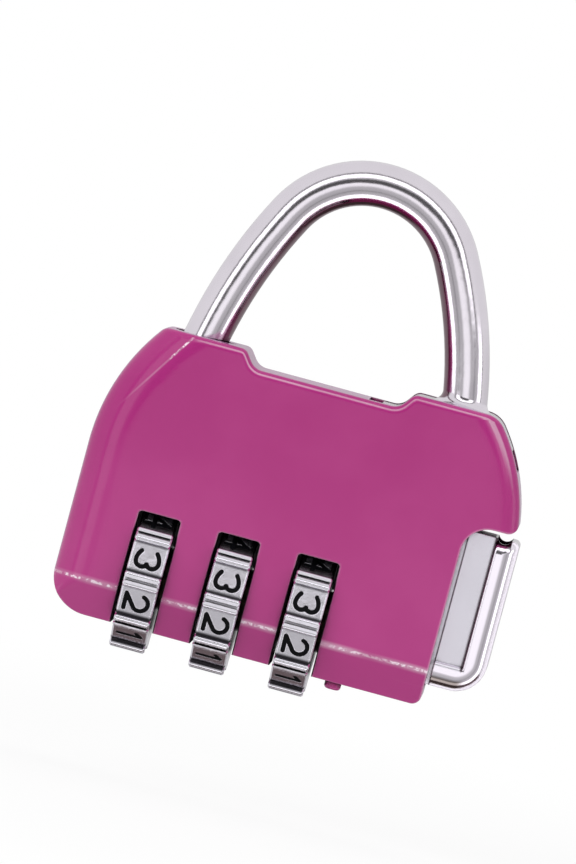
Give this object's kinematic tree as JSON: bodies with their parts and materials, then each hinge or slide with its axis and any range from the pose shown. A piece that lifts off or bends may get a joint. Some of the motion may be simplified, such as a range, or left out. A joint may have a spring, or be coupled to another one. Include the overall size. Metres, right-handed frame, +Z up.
{
  "type": "luggage combination padlock",
  "caption": "Small luggage padlock with a lacquered two-part case, a bowed chrome shackle, numbered thumb dials and a push button at its side.",
  "frame": {"origin": "inside of the shackle's crown, where the padlock hangs, on the mid-plane between the covers", "axes": "+Z up along the shackle, +X towards the release button, +Y towards the back"},
  "size_m": [0.0421, 0.015, 0.051],
  "materials": {
    "lacquer": "gloss",
    "chrome": "polished",
    "dial_chrome": "satin chrome plate",
    "enamel": "black enamel fill",
    "black_plastic": "moulded",
    "steel": "turned",
    "dark_steel": "blackened",
    "spring_steel": "drawn wire and strip",
    "brass": "machined"
  },
  "bodies": {
    "case": {"front_cover": "lacquer", "rear_cover": "lacquer", "dial_frame": "black_plastic", "cover_screws": "dark_steel", "shackle_pivot_pin": "steel", "spindle_bush": "brass", "shackle_spring": "spring_steel", "detent_spring_1": "spring_steel", "detent_spring_2": "spring_steel", "detent_spring_3": "spring_steel", "return_spring": "spring_steel", "latch_spring": "spring_steel", "release_spring": "spring_steel"},
    "shackle": {"shackle": "chrome", "latch_hook": "steel"},
    "release_button": {"release_button": "chrome", "spindle": "steel", "spindle_pin": "steel"},
    "latch": {"latch_slide": "steel"},
    "dial_1": {"dial_1": "dial_chrome", "dial_1_numerals": "enamel", "clutch_sleeve_1": "brass"},
    "dial_2": {"dial_2": "dial_chrome", "dial_2_numerals": "enamel", "clutch_sleeve_2": "brass"},
    "dial_3": {"dial_3": "dial_chrome", "dial_3_numerals": "enamel", "clutch_sleeve_3": "brass"}
  },
  "joints": [
    {"name": "shackle_swing", "type": "hinge", "parent": "case", "child": "shackle", "pos_m": [0.0161, 0, -0.02105], "axis": [0, 1, 0], "range_deg": [0, 36], "deforming": ["shackle_spring"]},
    {"name": "button_press", "type": "slide", "parent": "case", "child": "release_button", "axis": [-1, 0, 0], "range_m": [0, 0.0018], "stiffness_N_per_m": 400, "springref_m": -0.002, "deforming": ["return_spring", "release_spring"]},
    {"name": "latch_throw", "type": "slide", "parent": "case", "child": "latch", "axis": [1, 0, 0], "range_m": [0, 0.0015], "deforming": ["latch_spring"]},
    {"name": "dial_1_turn", "type": "hinge", "parent": "case", "child": "dial_1", "pos_m": [-0.01243, 0, -0.03935], "axis": [1, 0, 0], "continuous": true, "deforming": ["detent_spring_1"]},
    {"name": "dial_2_turn", "type": "hinge", "parent": "case", "child": "dial_2", "pos_m": [-0.00463, 0, -0.03935], "axis": [1, 0, 0], "continuous": true, "deforming": ["detent_spring_2"]},
    {"name": "dial_3_turn", "type": "hinge", "parent": "case", "child": "dial_3", "pos_m": [0.00317, 0, -0.03935], "axis": [1, 0, 0], "continuous": true, "deforming": ["detent_spring_3"]}
  ]
}
